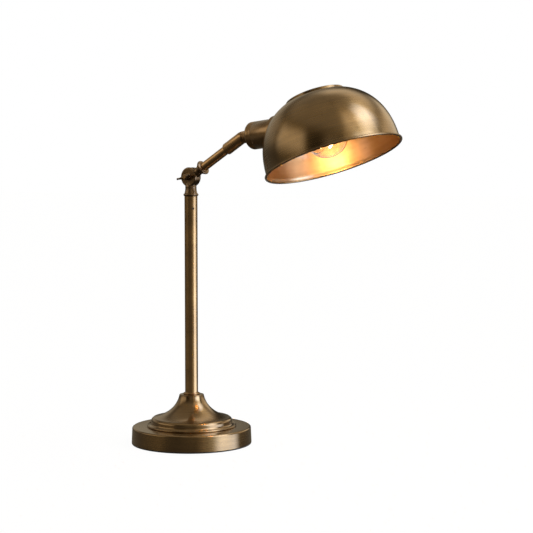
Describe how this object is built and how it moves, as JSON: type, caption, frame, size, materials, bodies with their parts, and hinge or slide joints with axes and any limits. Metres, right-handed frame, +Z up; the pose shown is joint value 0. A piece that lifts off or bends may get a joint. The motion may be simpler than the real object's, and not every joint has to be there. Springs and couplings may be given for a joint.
{
  "type": "dome shade desk lamp",
  "caption": "Desk lamp with a weighted round foot, straight pole, tilting arm with a wing nut, and a brass dome shade that swivels round a clear bulb.",
  "frame": {"origin": "middle of the foot's underside, on the surface that the lamp stands on", "axes": "+Z up along the pole; the arm swings in the XZ plane and reaches towards +X; the hinge bolt lies along Y with its wing nut at -Y"},
  "size_m": [0.4313, 0.1934, 0.5143],
  "materials": {
    "aged_brass": "antique brass, finely brushed round its axis, satin lacquer",
    "dark_brass": "darker and redder antique brass, turned and satin",
    "bright_brass": "plain brass, satin",
    "zinc_steel": "zinc plated, satin",
    "blackened_steel": "blackened",
    "cast_iron": "raw casting",
    "black_felt": "matt felt",
    "black_rubber": "matt",
    "brown_fibre": "vulcanised fibre, matt",
    "black_phenolic": "moulded, semi-matt",
    "solder": "dull solder",
    "black_glass": "glossy insulating glass",
    "nickel_cap": "satin, rolled thread",
    "clear_glass": "clear, smooth",
    "tungsten": "glowing warm white"
  },
  "bodies": {
    "base": {"felt_pad": "black_felt", "base_shell": "aged_brass", "base_weight": "cast_iron", "base_nipple": "zinc_steel", "base_washer": "zinc_steel", "base_nut": "zinc_steel", "cord_grommet": "black_rubber", "pole_collar": "dark_brass", "pole_bush": "bright_brass", "pole": "aged_brass", "pole_set_screw": "blackened_steel", "lower_knuckle": "dark_brass", "friction_washers": "brown_fibre", "hinge_bolt": "dark_brass", "hinge_washer": "dark_brass"},
    "nut": {"wing_nut": "dark_brass"},
    "arm": {"upper_knuckle": "dark_brass", "arm_tube": "dark_brass", "elbow": "dark_brass", "neck_nipple": "zinc_steel", "swivel_ring": "dark_brass", "swivel_washer": "zinc_steel", "lock_nut": "zinc_steel"},
    "head": {"cup_neck": "dark_brass", "socket_cup": "dark_brass", "holder_seat": "bright_brass", "holder_screws": "zinc_steel", "lampholder": "black_phenolic", "holder_sleeve": "bright_brass", "screw_shell": "bright_brass", "centre_contact": "bright_brass", "wedge_ring": "aged_brass", "shade_ring": "bright_brass", "saddle_collar": "dark_brass", "shade": "aged_brass", "crown_cap": "aged_brass", "crown_washer": "zinc_steel", "crown_screw": "dark_brass", "crown_nut": "zinc_steel", "bulb_contact": "solder", "bulb_insulator": "black_glass", "bulb_cap": "nickel_cap", "bulb_glass": "clear_glass", "bulb_stem": "clear_glass", "bulb_wires": "zinc_steel", "filament": "tungsten"}
  },
  "joints": [
    {"name": "arm_tilt", "type": "hinge", "parent": "base", "child": "arm", "pos_m": [0, 0, 0.39], "axis": [0, -1, 0], "range_deg": [-3.2, 59.5]},
    {"name": "wing_nut_turn", "type": "hinge", "parent": "base", "child": "nut", "pos_m": [0, -0.0118, 0.39], "axis": [0, -1, 0], "range_deg": [0, 180]},
    {"name": "shade_swivel", "type": "hinge", "parent": "arm", "child": "head", "pos_m": [0.09495, 0, 0.44593], "axis": [0.9945, 0, 0.1045], "range_deg": [-90, 90]}
  ]
}
